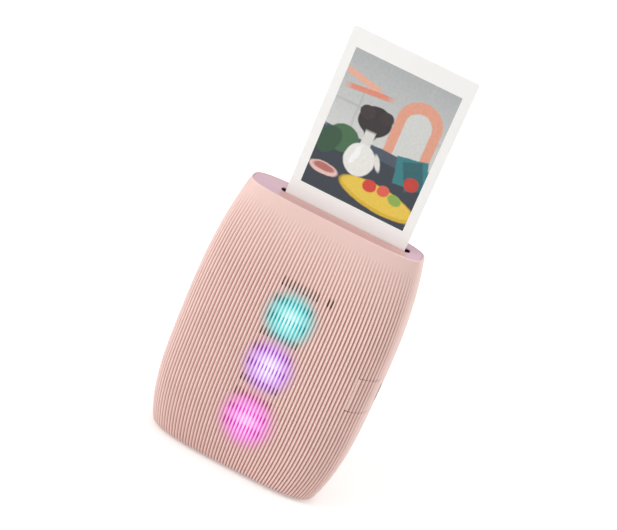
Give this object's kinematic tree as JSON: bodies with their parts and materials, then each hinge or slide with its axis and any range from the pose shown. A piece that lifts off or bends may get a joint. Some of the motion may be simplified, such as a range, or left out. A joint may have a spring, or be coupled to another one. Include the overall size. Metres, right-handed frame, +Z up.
{
  "type": "compact photo printer",
  "caption": "Upright pocket photo printer with a ribbed barrel body, a light window, a print standing in its top slot, a rear film door and a side port cover.",
  "frame": {"origin": "middle of the underside the printer stands on", "axes": "+Z up along the film path, -Y the front with the light window, +X the side with the port cover"},
  "size_m": [0.09, 0.0372, 0.203],
  "materials": {
    "shell_plastic": "fine satin moulded texture",
    "cap_plastic": "fine satin moulded texture",
    "dark_plastic": "moulded",
    "acetal": "smooth moulded",
    "steel_parts": "brushed",
    "brass_parts": "machined",
    "circuit_board": "solder mask",
    "white_plastic": "moulded",
    "film_sheet": "smooth coated film",
    "amber_window": "clear tinted",
    "diffuser": "frosted",
    "lens_glass": "polished",
    "light_teal": "lit lamp",
    "light_violet": "lit lamp",
    "light_magenta": "lit lamp",
    "battery_foil": "wrapped foil",
    "flex_cable": "polyimide film"
  },
  "bodies": {
    "case": {"front_shell": "shell_plastic", "rear_shell": "shell_plastic", "top_cap": "cap_plastic", "chassis": "dark_plastic", "chassis_screws": "steel_parts", "film_cartridge": "dark_plastic", "film_stack": "film_sheet", "cartridge_spring": "dark_plastic", "door_hinge_ears": "dark_plastic", "door_hinge_pins": "steel_parts", "latch_spring": "steel_parts", "port_cover_pin": "steel_parts", "port_well": "dark_plastic", "usb_port": "steel_parts", "power_switch": "dark_plastic", "function_switch": "dark_plastic", "side_board": "circuit_board", "roller_plate_left": "steel_parts", "roller_plate_right": "steel_parts", "roller_bushes": "acetal", "gear_pins": "steel_parts", "gear_cover": "steel_parts", "motor": "steel_parts", "claw_spring": "steel_parts", "print_head": "dark_plastic", "lens_array": "lens_glass", "main_board": "circuit_board", "board_chips": "dark_plastic", "shield_can": "steel_parts", "board_spacers": "steel_parts", "battery": "battery_foil", "led_board": "white_plastic", "led_top": "light_teal", "led_middle": "light_violet", "led_bottom": "light_magenta", "led_holder": "white_plastic", "light_guide": "diffuser", "head_cable": "flex_cable"},
    "film_door_body": {"film_door": "shell_plastic", "door_hinge_lugs": "dark_plastic", "door_window": "amber_window", "door_pads": "dark_plastic"},
    "latch_body": {"door_latch": "cap_plastic"},
    "port_cover_body": {"port_cover": "shell_plastic"},
    "power_button_body": {"power_button": "cap_plastic"},
    "function_button_body": {"function_button": "cap_plastic"},
    "print_body": {"film_print": "film_sheet"},
    "front_roller_body": {"front_roller": "dark_plastic", "front_roller_gear": "acetal"},
    "rear_roller_body": {"rear_roller": "dark_plastic", "rear_roller_gear": "acetal"},
    "upper_gear_body": {"upper_gear": "acetal"},
    "lower_gear_body": {"lower_gear": "acetal"},
    "pinion_body": {"motor_pinion": "brass_parts"},
    "claw_body": {"pick_claw": "acetal"}
  },
  "joints": [
    {"name": "door_hinge", "type": "hinge", "parent": "case", "child": "film_door_body", "pos_m": [0.0035, 0.01454, 0.006], "axis": [-1, 0, 0], "range_deg": [0, 85]},
    {"name": "latch_slide", "type": "slide", "parent": "film_door_body", "child": "latch_body", "axis": [0, 0, -1], "range_m": [0, 0.0022], "stiffness_N_per_m": 60, "springref_m": -0.002, "deforming": ["latch_spring"]},
    {"name": "port_cover_hinge", "type": "hinge", "parent": "case", "child": "port_cover_body", "pos_m": [0.0368, -0.01367, 0.0626], "axis": [0, 0, -1], "range_deg": [0, 90]},
    {"name": "power_button_press", "type": "slide", "parent": "case", "child": "power_button_body", "axis": [1, 0, 0], "range_m": [0, 0.0006], "stiffness_N_per_m": 400},
    {"name": "function_button_press", "type": "slide", "parent": "case", "child": "function_button_body", "axis": [1, 0, 0], "range_m": [0, 0.0006], "stiffness_N_per_m": 400},
    {"name": "print_slide", "type": "slide", "parent": "case", "child": "print_body", "axis": [0, 0, 1], "range_m": [0, 0.0085]},
    {"name": "front_roller_spin", "type": "hinge", "parent": "case", "child": "front_roller_body", "pos_m": [0.0035, -0.0039, 0.118], "axis": [1, 0, 0], "continuous": true},
    {"name": "rear_roller_spin", "type": "hinge", "parent": "case", "child": "rear_roller_body", "pos_m": [0.0035, 0.0021, 0.118], "axis": [1, 0, 0], "continuous": true},
    {"name": "upper_gear_spin", "type": "hinge", "parent": "case", "child": "upper_gear_body", "pos_m": [-0.028, -0.0031, 0.11205], "axis": [1, 0, 0], "continuous": true},
    {"name": "lower_gear_spin", "type": "hinge", "parent": "case", "child": "lower_gear_body", "pos_m": [-0.028, 0.00206, 0.10661], "axis": [1, 0, 0], "continuous": true},
    {"name": "motor_spin", "type": "hinge", "parent": "case", "child": "pinion_body", "pos_m": [-0.028, 0.00556, 0.11267], "axis": [1, 0, 0], "continuous": true},
    {"name": "claw_slide", "type": "slide", "parent": "case", "child": "claw_body", "axis": [0, 0, 1], "range_m": [0, 0.005], "stiffness_N_per_m": 10, "springref_m": -0.005, "deforming": ["claw_spring"]}
  ],
  "couplings": [
    {"joint": "rear_roller_spin", "follows": "front_roller_spin", "ratio": -1},
    {"joint": "upper_gear_spin", "follows": "front_roller_spin", "ratio": -1},
    {"joint": "lower_gear_spin", "follows": "front_roller_spin", "ratio": 1.5},
    {"joint": "motor_spin", "follows": "front_roller_spin", "ratio": -3.75}
  ]
}
